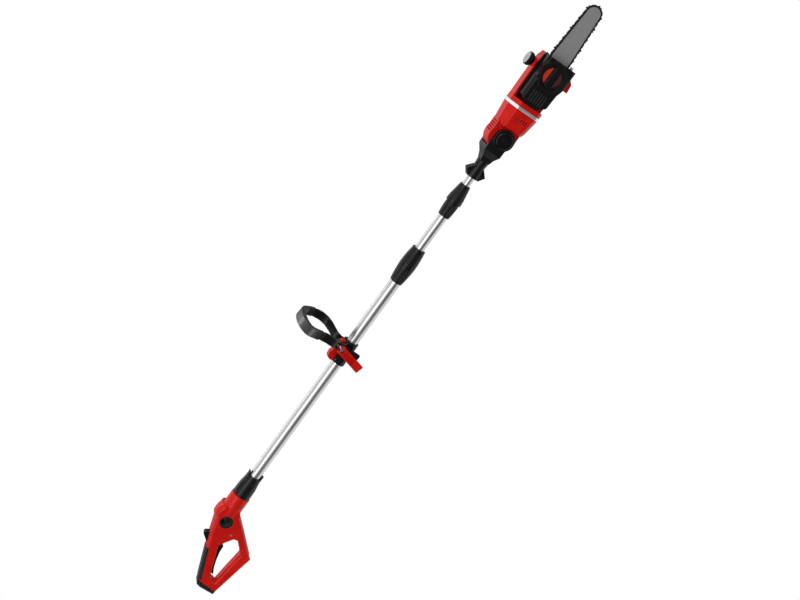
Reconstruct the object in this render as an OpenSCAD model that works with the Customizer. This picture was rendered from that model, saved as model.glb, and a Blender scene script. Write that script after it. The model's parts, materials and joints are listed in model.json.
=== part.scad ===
// Telescoping pole saw. Pole axis along +X with the saw head at +X, Z up,
// origin at the centre of the strap eye in the handle.

/* [Pole] */
// Outer diameter of the lower tube
lower_od = 32; // [31.5:0.5:32.5]
// Outer diameter of the middle tube
middle_od = 27; // [26.5:0.5:27]
// Outer diameter of the upper tube
upper_od = 22; // [21.5:0.5:22]
// Wall of the lower tube
lower_wall = 1.5; // [1.3:0.1:1.5]
// Wall of the middle and upper tubes
inner_wall = 1.3; // [1.1:0.1:1.3]

/* [Handle] */
// Wall of the handle shells
shell_wall = 3; // [2.5:0.5:3.5]
// Radius of the round neck round the pole
neck_r = 29; // [28:0.5:30]
// Radius of the strap eye bore
eye_r = 7; // [6:0.5:8]

/* [Sliding grip] */
// Place of the sliding grip's cross bolt along the pole
grip_x = 622; // [600:1:640]
// Width of the loop handle's strap along the pole
loop_w = 24; // [20:1:25]
// Forward lean of the loop handle in degrees
loop_lean = 5; // [0:1:8]

/* [Saw head] */
// Place of the head pivot along the pole
pivot_x = 1336; // [1335:1:1337]
// Half width of the guide bar at its widest
bar_r = 27; // [26:0.5:28]
// Thickness of the guide bar
bar_t = 4.4; // [4:0.1:4.6]
// Number of rivets in the chain, a multiple of four
chain_rivets = 80; // [76:4:84]

/* [Hidden] */
$fn = 64;

fit = 0.05;          // radial clearance of a running or pressed fit
gap = 0.4;           // clearance between parts that move past each other
big = 200;           // larger than any part that a cut goes through

// Handle outline in the XZ plane, and the opening inside the D
handle_pts = [[-204, -39.5], [-94, 1.5], [-52, 17], [-8, 30], [8, 38], [16, 39.5], [28, 38.5],
    [42, 32], [45, 24], [45, -22], [36, -28], [28, -32], [10, -52], [-76.7, -136.6],
    [-218, -106], [-208, -51]];
opening_pts = [[-191, -88], [-134, -94], [-78, -101], [-66, -93], [-38, -67], [-39, -55],
    [-62, -40], [-80, -30], [-184, -67]];
handle_plan = [[-240, 17], [-95, 18], [-60, 21], [-20, 26], [60, 26]];
eye_out = 19;
eye_drop = -4;
neck_end = 87;
tube_start = 42;
right_screw = [-30, -38];
left_screws = [[-202, -82], [-150, -106], [-86, -116], [0, 28]];
screw_spots = concat([right_screw], left_screws);
screw_r = 1.8;
boss_r = 4.5;
pin_at = [-165, -53.5];
pin_r = 2;
trigger_hw = 9;
rail_top = [10, -52];
rail_turn = 135.7;
slider_at = [-72, 9.75];
slider_turn = -20.6;
slider_travel = 6;

// Pole stations along X
lock1 = [853, 906, 965];
lock2 = [1076, 1121, 1179];
lower_end = 901;
middle_start = 445;
middle_end = 1118;
upper_start = 640;
fork_start = 1205;
upper_end = 1232;
lower_r = lower_od / 2;
middle_r = middle_od / 2;
upper_r = upper_od / 2;
lower_in = lower_r - lower_wall;
middle_in = middle_r - inner_wall;

// Sliding grip
bolt_z = 28;
bolt_r = 4;
clamp_x = [571, 645];
clamp_r = 20.5;
seam_z = 11;
leg_in = 26;
leg_out = 38;
lever_turn = 17.5;
cam_y = -47;

// Saw head
knuckle_r = 35;
bonnet_r = 42;
knuckle_hw = 23.6;
fork_in = 24;
fork_out = 33;
band_x = [1424.5, 1433];
drive_x = pivot_x + 138;
stud_x = pivot_x + 204;
bar_y = -22;
cover_y = [-46, -18.5];
can_x = [1374, 1421];
knob_z = -1;
oil_x = pivot_x + 209;
oil_y = -2;
bar_mid_x = 1590;
nose_x = 1729;
nose_r = 19.2;
chain_rise = 3.2;    // rivet line above the bar edge
strap_t = 5.4;
tang_t = 1.3;
path_x = [drive_x, bar_mid_x, nose_x];
path_r = [17.5, bar_r + chain_rise, nose_r + chain_rise];

// ---------- helpers ----------
module along_x(x0, x1, r) {
    translate([x0, 0, 0]) rotate([0, 90, 0]) cylinder(r = r, h = x1 - x0);
}

module along_y(at, y0, y1, r) {
    translate([at[0], y0, at[1]]) rotate([-90, 0, 0]) cylinder(r = r, h = y1 - y0);
}

module plate_xz(y0, y1) {
    translate([0, y1, 0]) rotate([90, 0, 0]) linear_extrude(y1 - y0) children();
}

module slab_x(x0, x1) {
    translate([x0, 0, 0]) rotate([90, 0, 90]) linear_extrude(x1 - x0) children();
}

// A turned part on the pole axis, from points [radius, x]
module turned(pts) {
    rotate([0, 90, 0]) rotate_extrude() polygon(pts);
}

module block(lo, hi) {
    translate(lo) cube(hi - lo);
}

function unit(v) = v / norm(v);
function side(a, b) = let (d = unit(b - a)) [d[1], -d[0]];

// A closed outline moved by t: inwards if its points run clockwise, outwards if counter-clockwise
function inset(p, t) = let (n = len(p)) [for (i = [0 : n - 1])
    let (s1 = side(p[(i + n - 1) % n], p[i]), s2 = side(p[i], p[(i + 1) % n]))
    p[i] + t * (s1 + s2) / (1 + s1 * s2)];

// Half width of the handle at x
function handle_hw(x) = lookup(x, handle_plan);

// An eight-sided section in the YZ plane, with large chamfers at the top
function section(hw, top, bottom, cut, low) = [[-hw, top - cut], [-hw + cut, top], [hw - cut, top],
    [hw, top - cut], [hw, bottom + low], [hw - low, bottom], [-hw + low, bottom],
    [-hw, bottom + low]];

// ---------- closed belt outline round three circles ----------
function tangent_nx(i, j, d) = (path_r[i] - path_r[j]) / (path_x[j] - path_x[i]) * d;
function lean(i, j) = acos(tangent_nx(i, j, 1));
function at_angle(i, a, off) = [path_x[i] + (path_r[i] + off) * cos(a), (path_r[i] + off) * sin(a)];

lean01 = lean(0, 1);
lean12 = lean(1, 2);
belt_half = [for (k = [0 : 1 : 12]) [0, 180 - k * (180 - lean01) / 12],
    [1, lean01], [1, (lean01 + lean12) / 2], [1, lean12],
    for (k = [0 : 1 : 16]) [2, lean12 - k * lean12 / 16]];
function belt_pts(off) = concat(
    [for (h = belt_half) at_angle(h[0], h[1], off)],
    [for (k = [len(belt_half) - 2 : -1 : 1]) at_angle(belt_half[k][0], -belt_half[k][1], off)]);

// Lengths of the upper half of the rivet line, from the rear tangent round to the nose
span01 = norm(at_angle(1, lean01, 0) - at_angle(0, lean01, 0));
span12 = norm(at_angle(2, lean12, 0) - at_angle(1, lean12, 0));
arc0 = path_r[0] * (180 - lean01) * PI / 180;
arc1 = path_r[1] * (lean01 - lean12) * PI / 180;
arc2 = path_r[2] * lean12 * PI / 180;
half_path = arc0 + span01 + arc1 + span12 + arc2;
pitch = 2 * half_path / chain_rivets;

// Point on the upper half at length s from the rearmost point
function upper_point(s) =
    s < arc0 ? at_angle(0, 180 - s / path_r[0] * 180 / PI, 0) :
    s < arc0 + span01 ? at_angle(0, lean01, 0)
        + (s - arc0) / span01 * (at_angle(1, lean01, 0) - at_angle(0, lean01, 0)) :
    s < arc0 + span01 + arc1 ?
        at_angle(1, lean01 - (s - arc0 - span01) / path_r[1] * 180 / PI, 0) :
    s < half_path - arc2 ? at_angle(1, lean12, 0) + (s - arc0 - span01 - arc1) / span12
        * (at_angle(2, lean12, 0) - at_angle(1, lean12, 0)) :
    at_angle(2, (half_path - s) / path_r[2] * 180 / PI, 0);
function mirror_z(p) = [p[0], -p[1]];
function path_point(s) = s <= half_path ? upper_point(s) : mirror_z(upper_point(2 * half_path - s));
function rivet(i) = path_point(pitch * (i % chain_rivets));

// ---------- handle ----------
module handle_solid() {
    intersection() {
        plate_xz(-27, 27) polygon(handle_pts);
        translate([0, 0, -big / 2 - 50]) linear_extrude(big * 1.5)
            polygon([for (p = handle_plan) p, for (k = [4 : -1 : 0]) [handle_plan[k][0], -handle_plan[k][1]]]);
    }
    along_x(20, neck_end, neck_r);
}

module handle_cavity() {
    intersection() {
        plate_xz(-27, 27) difference() {
            polygon(inset(handle_pts, shell_wall));
            polygon(inset(opening_pts, shell_wall));
        }
        translate([0, 0, -big / 2 - 50]) linear_extrude(big * 1.5) polygon([
            for (p = handle_plan) [p[0], p[1] - shell_wall],
            for (k = [4 : -1 : 0]) [handle_plan[k][0], shell_wall - handle_plan[k][1]]]);
    }
    along_x(50, 78, neck_r - shell_wall);
}

module pad_zone(grow) {
    plate_xz(-18.2 - grow, 18.2 + grow)
        polygon([[-204, -38.2], [-102, -0.2], [-100, -8], [-104, -12], [-201, -48]]);
}

module pad_core() {
    plate_xz(-15.6, 15.6) polygon([[-210, -43.65], [-95, -0.8], [-95, -60], [-210, -60]]);
}

module slider_frame() {
    translate([slider_at[0], 0, slider_at[1]]) rotate([0, slider_turn, 0]) children();
}

module rail_frame() {
    translate([rail_top[0], 0, rail_top[1]]) rotate([0, rail_turn, 0]) children();
}

module screw_hole(s) {
    along_y(s, -30, 12, screw_r + 0.1);
    along_y(s, -30, -handle_hw(s[0]) + 3, 3.6);
}

module screw(s) {
    head = -handle_hw(s[0]);
    difference() {
        union() {
            along_y(s, head + 2.9, 10, screw_r);
            along_y(s, head + 0.6, head + 2.95, 3.4);
        }
        along_y(s, -30, head + 2, 1.4, $fn = 6);
    }
}

module handle_shell(sign) {
    lo = sign < 0 ? -40 : 0;
    difference() {
        intersection() {
            union() {
                difference() {
                    handle_solid();
                    handle_cavity();
                }
                intersection() {
                    handle_solid();
                    union() {
                        for (s = screw_spots) along_y(s, -27, 27, boss_r);
                        along_y(pin_at, -17, -9.6, 4.5);
                        along_y(pin_at, 9.6, 17, 4.5);
                    }
                }
            }
            block([-260, lo, -150], [120, lo + 40, 60]);
        }
        plate_xz(-30, 30) polygon(opening_pts);
        along_x(tube_start - 1, neck_end + 1, lower_r + fit);
        along_y([0, eye_drop], -30, 30, eye_out + fit);
        along_y(pin_at, -14.1, 14.1, pin_r + fit);
        screw_hole(right_screw);
        mirror([0, 1, 0]) for (s = left_screws) screw_hole(s);
        difference() {
            pad_zone(2);
            pad_core();
        }
        plate_xz(-trigger_hw - gap, trigger_hw + gap)
            polygon([[-175.6, -75], [-175.6, -44], [-73, -9], [-73, -52]]);
        slider_frame() block([-20.4, -8.4, -12], [23.8, 8.4, 12]);
        rail_frame() block([14, -17.4, -11.4], [140, 17.4, 5]);
    }
}

module handle_shell_right() { color("firebrick") handle_shell(-1); }

module handle_shell_left() { color("firebrick") handle_shell(1); }

module handle_screws() {
    color("dimgray") {
        screw(right_screw);
        mirror([0, 1, 0]) for (s = left_screws) screw(s);
    }
}

module grip_pad() {
    color("#222222") difference() {
        pad_zone(0);
        plate_xz(-15.65, 15.65) polygon([[-210, -43.6], [-95, -0.75], [-95, -60], [-210, -60]]);
        for (k = [0 : 8]) translate([-190 + 9.6 * k, 0, -33 + 3.576 * k]) rotate([0, slider_turn, 0])
            block([-1, -12, -0.8], [1, 12, 3]);
    }
}

module butt_cap() {
    color("#1c1c1c") difference() {
        plate_xz(-17, 17)
            polygon([[-218.3, -107], [-208.3, -51], [-204.4, -39.3], [-219, -44], [-226, -58], [-230, -106]]);
        for (k = [0 : 5]) block([-232, -10, -99 + 8 * k], [-227.4 + 0.55 * k, 10, -96.5 + 8 * k]);
    }
}

module pole_collar() {
    color("#2a2a2a") difference() {
        union() {
            turned([[lower_r + fit, neck_end + 0.1], [27.4, neck_end + 0.1], [26.6, 118], [21.6, 156],
                [lower_r + fit, 156]]);
            for (m = [0, 1]) mirror([0, 0, m])
                plate_xz(-7, 7) polygon([[150, 18], [150, 22.4], [158, 21.6], [167, 23],
                    [166, 19.6], [158, 18]]);
        }
        for (k = [0 : 5]) rotate([60 * k + 30, 0, 0]) block([100, -1.2, 23], [140, 1.2, 30]);
    }
}

module strap_eyelet() {
    color("#141414") difference() {
        along_y([0, eye_drop], -26.4, 26.4, eye_out);
        along_y([0, 0], -30, 30, eye_r);
        for (m = [0, 1]) mirror([0, m, 0]) translate([0, 16, 0]) rotate([-90, 0, 0])
            cylinder(r1 = eye_r, r2 = 14, h = 10.5);
    }
}

module battery_rail() {
    color("#1c1c1c") rail_frame() {
        block([15, -17, -11], [106, 17, -9]);
        block([15, -17, -9.5], [19, 17, -0.4]);
        for (m = [0, 1]) mirror([0, m, 0]) {
            block([18, 14, -9.5], [106, 17, -0.4]);
            block([18, 9.5, -2.6], [102, 15, -0.4]);
        }
    }
}

module battery_contacts() {
    color("goldenrod") rail_frame() for (y = [-6, 0, 6])
        block([32, y - 0.5, -8.95], [50, y + 0.5, -5]);
}

module switch_module() {
    color("#303030") block([-66, -9, -29], [-26, 9, -11]);
    color("silver") block([-69, -3, -24], [-66, 3, -16]);
}

module control_board() {
    color("darkgreen") rail_frame() block([28, -14, -19.5], [82, 14, -12.5]);
}

module trigger_pin() {
    color("silver") along_y(pin_at, -14, 14, pin_r);
}

module trigger_spring() {
    color("silver") translate([-112, 0, -22]) {
        for (k = [0 : 5]) translate([0, 0, 2 * k]) rotate_extrude() translate([3, 0]) circle(r = 0.5, $fn = 24);
        block([2.7, -0.3, 0], [3.3, 0.3, 10]);
    }
}

module trigger() {
    color("#171717") difference() {
        plate_xz(-trigger_hw, trigger_hw) polygon([[-173, -71.5], [-150, -60.5], [-128, -53.5],
            [-100, -47.5], [-80, -46.5], [-75.5, -43], [-75.5, -24], [-79, -19.5], [-160, -47.5],
            [-170, -48]]);
        along_y(pin_at, -20, 20, pin_r + fit);
    }
}

module lock_off_button() {
    color("#1a1a1a") slider_frame() {
        plate_xz(-8, 8) polygon([[-20, -7], [-20, 0.5], [6, 14.5], [11, 14.5], [15, 11.5], [17, -7]]);
        block([-24, -11, -7.5], [26, 11, -4.8]);
    }
}

// ---------- pole ----------
module tube(x0, x1, od, wall) {
    difference() {
        along_x(x0, x1, od / 2);
        along_x(x0 - 1, x1 + 1, od / 2 - wall);
    }
}

module lower_tube() { color("silver") tube(tube_start, lower_end, lower_od, lower_wall); }

module middle_tube() { color("silver") tube(middle_start, middle_end, middle_od, inner_wall); }

module upper_tube() { color("silver") tube(upper_start, upper_end, upper_od, inner_wall); }

module middle_bush() {
    color("#333333") turned([[middle_r + fit, middle_start - 4], [lower_in - fit, middle_start - 4],
        [lower_in - fit, middle_start + 26], [middle_r + fit, middle_start + 26]]);
}

module upper_bush() {
    color("#333333") turned([[upper_r + fit, upper_start - 4], [middle_in - fit, upper_start - 4],
        [middle_in - fit, upper_start + 22], [upper_r + fit, upper_start + 22]]);
}

module lower_lock_body() {
    color("#262626") turned([[lower_r + fit, lock1[0]], [17.9, lock1[0]], [19, 860], [21.6, 880],
        [23.6, 905], [23.6, lock1[1]], [17.5, lock1[1]], [17.5, 936], [lower_r + fit, 936]]);
}

module lower_lock_collet() {
    color("gainsboro") difference() {
        turned([[middle_r + fit, lower_end + 1], [lower_r - fit, lower_end + 1],
            [lower_r - fit, 931], [middle_r + fit, 934]]);
        for (k = [0 : 2]) rotate([60 * k, 0, 0]) block([lower_end + 8, -0.8, -20], [940, 0.8, 20]);
    }
}

module lower_lock_nut() {
    color("#2b2b2b") turned([[17.9, lock1[1] + gap], [23.9, lock1[1] + gap], [22.8, 935], [20.6, 955],
        [18.6, lock1[2]], [14, lock1[2]], [14, 958], [17.9, 940]]);
}

module upper_lock_body() {
    color("#262626") turned([[middle_r + fit, lock2[0]], [16.8, lock2[0]], [18, 1085], [19.7, 1118],
        [19.7, lock2[1]], [15.6, lock2[1]], [15.6, 1148], [middle_r + fit, 1148]]);
}

module upper_lock_collet() {
    color("gainsboro") difference() {
        turned([[upper_r + fit, middle_end + 1], [middle_r - fit, middle_end + 1],
            [middle_r - fit, 1143], [upper_r + fit, 1146]]);
        for (k = [0 : 2]) rotate([60 * k, 0, 0]) block([middle_end + 8, -0.8, -20], [1150, 0.8, 20]);
    }
}

module upper_lock_nut() {
    color("#2b2b2b") turned([[16, lock2[1] + gap], [22.6, lock2[1] + gap], [22, 1136], [15, lock2[2]],
        [11.6, lock2[2]], [11.6, 1172], [16, 1152]]);
}

// ---------- sliding grip ----------
module clamp_shape() {
    difference() {
        union() {
            along_x(clamp_x[0], clamp_x[1], clamp_r);
            block([clamp_x[0] + 4, -24, 5], [clamp_x[1] - 4, 24, 17]);
        }
        along_x(clamp_x[0] - 1, clamp_x[1] + 1, lower_r + fit);
        for (x = [clamp_x[0] + 11, clamp_x[1] - 11], y = [-20.4, 20.4])
            translate([x, y, 0]) cylinder(r = 1.6, h = 40);
    }
}

module clamp_upper() {
    color("#202020") difference() {
        intersection() {
            clamp_shape();
            block([500, -40, seam_z + 0.1], [700, 40, 60]);
        }
        block([clamp_x[0] - 1, -10.1, 18], [clamp_x[1] + 1, 10.1, 40]);
    }
}

module clamp_lower() {
    color("#202020") intersection() {
        clamp_shape();
        block([500, -40, -60], [700, 40, seam_z - 0.1]);
    }
}

module clamp_block() {
    color("firebrick") difference() {
        plate_xz(-10, 10) polygon([[572, 18.1], [570, 27], [575, 38], [590, 40], [605, 34], [628, 34],
            [636, 29], [638, 18.1]]);
        along_y([grip_x, bolt_z], -30, 30, bolt_r + fit);
    }
}

module clamp_screws() {
    color("silver") for (x = [clamp_x[0] + 11, clamp_x[1] - 11], y = [-20.4, 20.4])
        translate([x, y, 6]) {
            cylinder(r = 1.55, h = 11.05);
            translate([0, 0, 11.05]) cylinder(r = 2.8, h = 2.2);
        }
}

// Half of the loop's centre line in its own plane, as [across, up]
loop_half = [[32, -30], [32, 8], [32, 36], [50, 52], [71, 66], [79, 86], [80, 110], [78, 130],
    [66, 147], [36, 157], [0, 160]];
loop_full = concat(loop_half, [for (k = [len(loop_half) - 2 : -1 : 0]) [-loop_half[k][0], loop_half[k][1]]]);
function catmull(a, b, c, d, t) = 0.5 * (2 * b + (c - a) * t + (2 * a - 5 * b + 4 * c - d) * t * t
    + (3 * b - a - 3 * c + d) * t * t * t);
function knot(i) = loop_full[min(max(i, 0), len(loop_full) - 1)];
loop_steps = 4;
loop_line = [for (i = [0 : len(loop_full) - 2], k = [0 : loop_steps - 1])
    catmull(knot(i - 1), knot(i), knot(i + 1), knot(i + 2), k / loop_steps), loop_full[len(loop_full) - 1]];
function loop_side(i) = let (a = loop_line[max(i - 1, 0)], b = loop_line[min(i + 1, len(loop_line) - 1)])
    side(a, b);
function loop_band(i0, i1, t) = concat([for (i = [i0 : i1]) loop_line[i] + t * loop_side(i)],
    [for (i = [i1 : -1 : i0]) loop_line[i] - t * loop_side(i)]);

module loop_frame() {
    translate([grip_x, 0, bolt_z]) rotate([0, loop_lean, 0]) translate([0, 0, -bolt_z]) children();
}

// The strap bows forwards between its legs and its top, as [up, forward]
loop_bow = [[-40, 0], [22, 0], [38, 3], [55, 9], [72, 12], [90, 13], [108, 11], [126, 6], [144, 0],
    [180, -6]];
function bow_outline(hw) = concat([for (b = loop_bow) [b[1] - hw, b[0]]],
    [for (k = [len(loop_bow) - 1 : -1 : 0]) [loop_bow[k][1] + hw, loop_bow[k][0]]]);

// A stretch of the strap, t thick to each side of its centre line and hw wide
module strap(i0, i1, t, hw) {
    intersection() {
        slab_x(-60, 60) polygon(loop_band(i0, i1, t));
        plate_xz(-100, 100) polygon(bow_outline(hw));
    }
}

grip_from = 6 * loop_steps;
grip_to = len(loop_line) - 1 - grip_from;

module loop_handle() {
    color("#181818") difference() {
        loop_frame() {
            strap(0, grip_from, 6, loop_w / 2);
            strap(grip_from, grip_to, 4, loop_w / 2);
            strap(grip_to, len(loop_line) - 1, 6, loop_w / 2);
        }
        along_y([grip_x, bolt_z], -60, 60, bolt_r + fit);
        for (m = [0, 1]) mirror([0, m, 0]) along_y([grip_x, bolt_z], leg_out + 0.1, 60, 11.4);
    }
}

module loop_grip() {
    color("#2e2e2e") loop_frame() difference() {
        strap(grip_from + 1, grip_to - 1, 7, loop_w / 2 + 1);
        strap(grip_from, grip_to, 4.02, loop_w / 2 + 0.02);
    }
}

module lever_frame() {
    translate([grip_x, cam_y, bolt_z]) rotate([0, lever_turn, 0]) children();
}

module loop_bolt() {
    color("silver") {
        along_y([grip_x, bolt_z], -50, 44, bolt_r);
        along_y([grip_x, bolt_z], -39.6, -38.2, 11);
        along_y([grip_x, bolt_z], 38.2, 39.6, 11);
        along_y([grip_x, bolt_z], 39.6, 46, 8, $fn = 6);
        lever_frame() along_x(-11.5, 11.5, 2);
    }
}

module clamp_lever() {
    color("firebrick") lever_frame() difference() {
        union() {
            along_x(-12, 12, 7);
            block([-12, -6, -80], [12, 1.6, 0]);
        }
        along_x(-13, 13, 2 + fit);
        block([-4.6, -10, -9], [4.6, 10, 10]);
        block([-6.8, -8, -52], [6.8, -3, -12]);
        for (x = [-4.6, 0, 4.6]) block([x - 0.8, -8, -52], [x + 0.8, -1, -12]);
        translate([0, -6, -80]) rotate([30, 0, 0]) block([-13, -8, -6], [13, 8, 1]);
    }
}

// ---------- head joint ----------
module head_fork() {
    color("#1d1d1d") difference() {
        union() {
            turned([[0, fork_start], [18, fork_start], [18, 1222], [15.6, 1238], [17.3, 1258], [18.4, 1280],
                [0, 1280]]);
            for (m = [0, 1]) mirror([0, 0, m])
                plate_xz(-11, 11) polygon([[fork_start, 12], [fork_start, 18], [1222, 30.6], [1240, 14]]);
            intersection() {
                plate_xz(-fork_out, fork_out) polygon([[1258, -14], [1276, -17], [1290, -22],
                    [1310, -22], [pivot_x, -28], [pivot_x, 28], [1308, 30], [1291, 29], [1274, 19],
                    [1258, 14]]);
                translate([0, 0, -40]) linear_extrude(80) polygon([[1255, -14], [1272, -20],
                    [1292, -fork_out], [1380, -fork_out], [1380, fork_out], [1292, fork_out],
                    [1272, 20], [1255, 14]]);
            }
            along_y([pivot_x, 0], -fork_out, fork_out, 28);
            along_y([pivot_x, 0], -42, -fork_out + 1, 28.6);
            along_y([pivot_x, 0], fork_out - 1, 38, 19);
        }
        along_y([pivot_x, 0], -fork_in, fork_in, bonnet_r + 3);
        block([pivot_x - 10, -fork_in, -60], [pivot_x + 60, fork_in, 60]);
        along_x(fork_start - 1, upper_end + 0.1, upper_r + fit);
        along_x(upper_end - 1, pivot_x, 6);
        along_y([pivot_x, 0], -60, -29.5, 24);
        along_y([pivot_x, 0], -60, 60, 6 + fit);
        along_y([pivot_x, 0], 34, 60, 11);
        for (m = [0, 1]) mirror([0, 0, m]) translate([1222, 0, 20]) cylinder(r = 2, h = 20);
    }
}

module pivot_pin() {
    color("silver") {
        along_y([pivot_x, 0], -28.5, 34.05, 6);
        along_y([pivot_x, 0], 34.05, 38.5, 9.6, $fn = 6);
    }
}

module pivot_button() {
    color("#101010") difference() {
        along_y([pivot_x, 0], -45.5, -34.5, 23.6);
        for (r = [20, 15, 10]) difference() {
            along_y([pivot_x, 0], -50, -44.6, r);
            along_y([pivot_x, 0], -51, -44, r - 1.6);
        }
    }
}

module motor_shape(t) {
    hull() {
        slab_x(pivot_x + 31 + t, pivot_x + 32 + t) polygon(section(34 - t, 41 - t, t - 38, 19, 11));
        slab_x(pivot_x + 42, pivot_x + 43) polygon(section(38 - t, 42.5 - t, t - 41, 21, 12));
        slab_x(band_x[0] - 1, band_x[0]) polygon(section(41.5 - t, 47 - t, t - 47, 23, 13));
    }
}

vent_z = [8.5, 1, -6.5, -14, -21.5];

module motor_half(sign) {
    lo = sign < 0 ? -60 : 0;
    difference() {
        intersection() {
            union() {
                motor_shape(0);
                along_y([pivot_x, 0], -knuckle_hw, knuckle_hw, knuckle_r);
                block([pivot_x, -knuckle_hw, -knuckle_r], [pivot_x + 38, knuckle_hw, 40.5]);
                intersection() {
                    along_y([pivot_x, 0], -knuckle_hw, knuckle_hw, bonnet_r);
                    block([pivot_x - 60, -knuckle_hw, 12], [pivot_x + 38, knuckle_hw, 60]);
                }
            }
            block([pivot_x - 60, lo, -60], [band_x[0] - 0.05, lo + 60, 60]);
        }
        difference() {
            motor_shape(3);
            for (x = [1380, 1410]) difference() {
                along_x(x, x + 3, 70);
                along_x(x - 1, x + 4, 28 + fit);
            }
        }
        along_y([pivot_x, 0], -60, 60, 6 + fit);
        for (z = vent_z) block([1396, -60, z - 1.3], [1408, 60, z + 1.3]);
        for (x = [1338 : 7 : 1366]) block([x - 1.4, -18, 36], [x + 1.4, 18, 60]);
    }
}

module motor_housing_right() { color("firebrick") motor_half(-1); }

module motor_housing_left() { color("firebrick") motor_half(1); }

module trim_band() {
    color("gainsboro") slab_x(band_x[0] + 0.05, band_x[1] - 0.05) difference() {
        polygon(section(42.5, 48.5, -48.5, 24, 13.5));
        polygon(section(37, 42, -42, 21, 11));
    }
}

module motor_can() {
    color("gray") difference() {
        along_x(can_x[0], can_x[1], 28);
        along_x(can_x[0] + 6, can_x[1] - 6, 26);
        along_x(can_x[0] - 1, can_x[1] + 1, 8);
    }
}

module gear_housing() {
    color("firebrick") difference() {
        union() {
            plate_xz(-13, 42) polygon([[band_x[1] + 0.05, -47.5], [band_x[1] + 0.05, 46], [1475, 47],
                [1540, 48], [1566, 45], [1583, 35], [1583, -16], [1552, -40], [1505, -47.5]]);
            slab_x(band_x[1] + 0.05, 1446.5) polygon(section(41.5, 47.5, -47.5, 23.5, 13));
            translate([oil_x, oil_y, 45.5]) cylinder(r = 13, h = 7.5);
            translate([oil_x, oil_y, 50]) cylinder(r = 10.7, h = 13);
            plate_xz(-10, 6) polygon([[1527, -76], [1551, -73], [1564, -60], [1548, -38], [1528, -44]]);
        }
        block([1440, -6, -38], [1512, 38, 28]);
        block([1432, -30, -34], [1440.5, 30, 28]);
        along_x(1440, drive_x - 12, 10.6);
        block([1518, -6, -10], [1578, 38, 28]);
        translate([oil_x, oil_y, 20]) cylinder(r = 7.5, h = 50);
        along_y([drive_x, 0], -20, 0, 11 + fit);
        along_y([stud_x, 0], -20, -8.9, 6 + fit);
        translate([1430, 42, 24]) rotate([45, 0, 0]) cube([180, 40, 60]);
        mirror([0, 0, 1]) translate([1430, 42, 34]) rotate([45, 0, 0]) cube([180, 40, 60]);
    }
    color("firebrick") difference() {
        along_y([drive_x, 0], 31, 38.2, 14);
        along_y([drive_x, 0], 30, 38, 11 + fit);
    }
}

module bar_plate() {
    color("#1a1a1a") difference() {
        union() {
            plate_xz(-18, -13.05) polygon([[1449, -34], [1449, 40], [1475, 44], [1575, 44], [1586, 38],
                [1583, 30], [1578, -38], [1505, -46], [1462, -42]]);
            along_y([stud_x, 0], -19.75, -17.5, 12);
        }
        along_y([drive_x, 0], -30, 0, 11 + fit);
        along_y([stud_x, 0], -30, 0, 4 + fit);
    }
}

module shaft_bearings() {
    color("silver") difference() {
        union() {
            for (x = [can_x[0] + 0.1, can_x[1] - 5.9]) along_x(x, x + 5.8, 8 - fit);
            along_y([drive_x, 0], -17.9, -9, 11);
            along_y([drive_x, 0], 32, 37.9, 11);
        }
        along_x(1370, 1430, 2.5 + fit);
        along_y([drive_x, 0], -40, 50, 5 + fit);
    }
}

module housing_screws() {
    color("dimgray") {
        for (p = [[1416, 10], [1416, -28], [1390, 6], [1390, -26]]) along_y(p, 32, 38, 3);
        for (p = [[1452, 20], [1452, -28], [1512, 20], [1512, -28], [1574, 18]]) along_y(p, 39, 43.2, 3);
    }
}

bar_x = [drive_x + 38, bar_mid_x, nose_x];
bar_rr = [19, bar_r, nose_r];
function bar_lean(i) = acos((bar_rr[i] - bar_rr[i + 1]) / (bar_x[i + 1] - bar_x[i]));
function bar_at(i, a, off) = [bar_x[i] + (bar_rr[i] + off) * cos(a), (bar_rr[i] + off) * sin(a)];
function bar_half(off) = [for (k = [0 : 8]) bar_at(0, 180 - k * (180 - bar_lean(0)) / 8, off),
    bar_at(1, bar_lean(0), off), bar_at(1, bar_lean(1), off),
    for (k = [0 : 1 : 14]) bar_at(2, bar_lean(1) * (1 - k / 14), off)];
function bar_outline(off) = let (h = bar_half(off))
    concat(h, [for (k = [len(h) - 2 : -1 : 1]) mirror_z(h[k])]);

module guide_bar() {
    color("silver") difference() {
        plate_xz(bar_y - bar_t / 2, bar_y + bar_t / 2) polygon(bar_outline(0));
        plate_xz(bar_y - 0.8, bar_y + 0.8) difference() {
            polygon(bar_outline(2));
            polygon(bar_outline(-5.6));
        }
        difference() {
            along_y([nose_x, 0], bar_y - 0.8, bar_y + 0.8, 17.2);
            along_y([nose_x, 0], bar_y - 1, bar_y + 1, 3);
        }
        plate_xz(bar_y - 4, bar_y + 4) polygon([[1506, -4.2], [1506, 4.2], [1566, 4.2], [1566, -4.2]]);
    }
    color("dimgray") for (p = [[nose_x, 6], [nose_x, -6], [nose_x - 6, 0], [nose_x + 5, 0]])
        along_y(p, bar_y - bar_t / 2 - 0.3, bar_y - bar_t / 2 + 0.4, 1.5);
}

module nose_sprocket() {
    color("gray") difference() {
        plate_xz(bar_y - 0.5, bar_y + 0.5) polygon([for (k = [0 : 17])
            [nose_x, 0] + (k % 2 == 0 ? 13.4 : 9.5) * [cos(20 * k), sin(20 * k)]]);
        along_y([nose_x, 0], -30, -10, 3 + fit);
    }
}

module link_frame(i) {
    a = rivet(i);
    b = rivet(i + 1);
    translate([(a[0] + b[0]) / 2, (a[1] + b[1]) / 2]) rotate(atan2(b[1] - a[1], b[0] - a[0])) children();
}

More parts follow.
